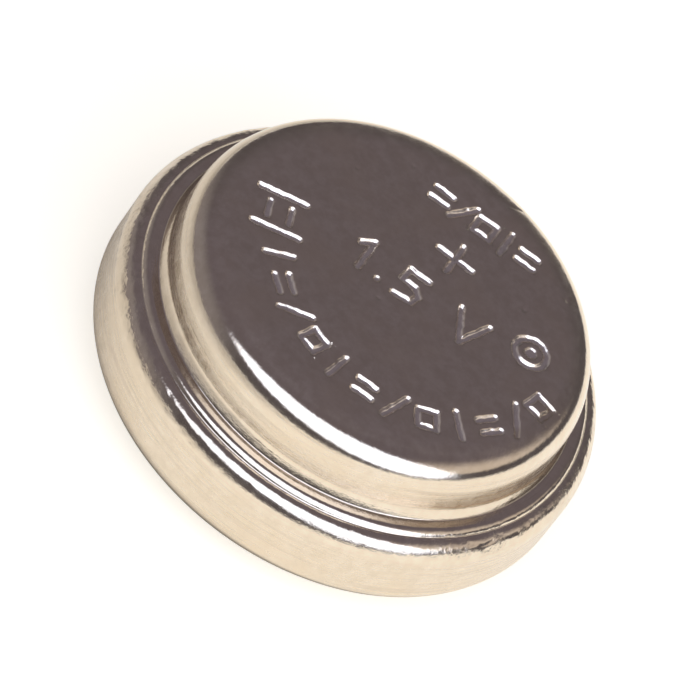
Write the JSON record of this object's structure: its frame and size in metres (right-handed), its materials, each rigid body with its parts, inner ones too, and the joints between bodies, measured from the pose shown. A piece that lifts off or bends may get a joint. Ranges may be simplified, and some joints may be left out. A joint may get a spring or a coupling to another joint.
{
  "type": "alkaline button cell",
  "caption": "Stepped nickel-plated alkaline button cell with a narrow stamped positive end and a crimped wide negative end.",
  "frame": {"origin": "centre of the negative contact face, on which the cell stands", "axes": "+Z along the cell's axis from the negative to the positive contact; the stamped voltage reads along +X"},
  "size_m": [0.0154, 0.0154, 0.006],
  "materials": {
    "can_nickel": "nickel plated, polished",
    "cap_nickel": "nickel plated, polished",
    "gasket_nylon": "moulded",
    "cathode_mix": "pressed powder",
    "barrier_film": "film",
    "pad_fibre": "fibre felt",
    "zinc_gel": "powder gel"
  },
  "bodies": {
    "root": {"positive_can": "can_nickel", "negative_cap": "cap_nickel", "sealing_gasket": "gasket_nylon", "cathode_pellet": "cathode_mix", "barrier_disc": "barrier_film", "absorbent_pad": "pad_fibre", "anode_gel": "zinc_gel"}
  },
  "joints": []
}
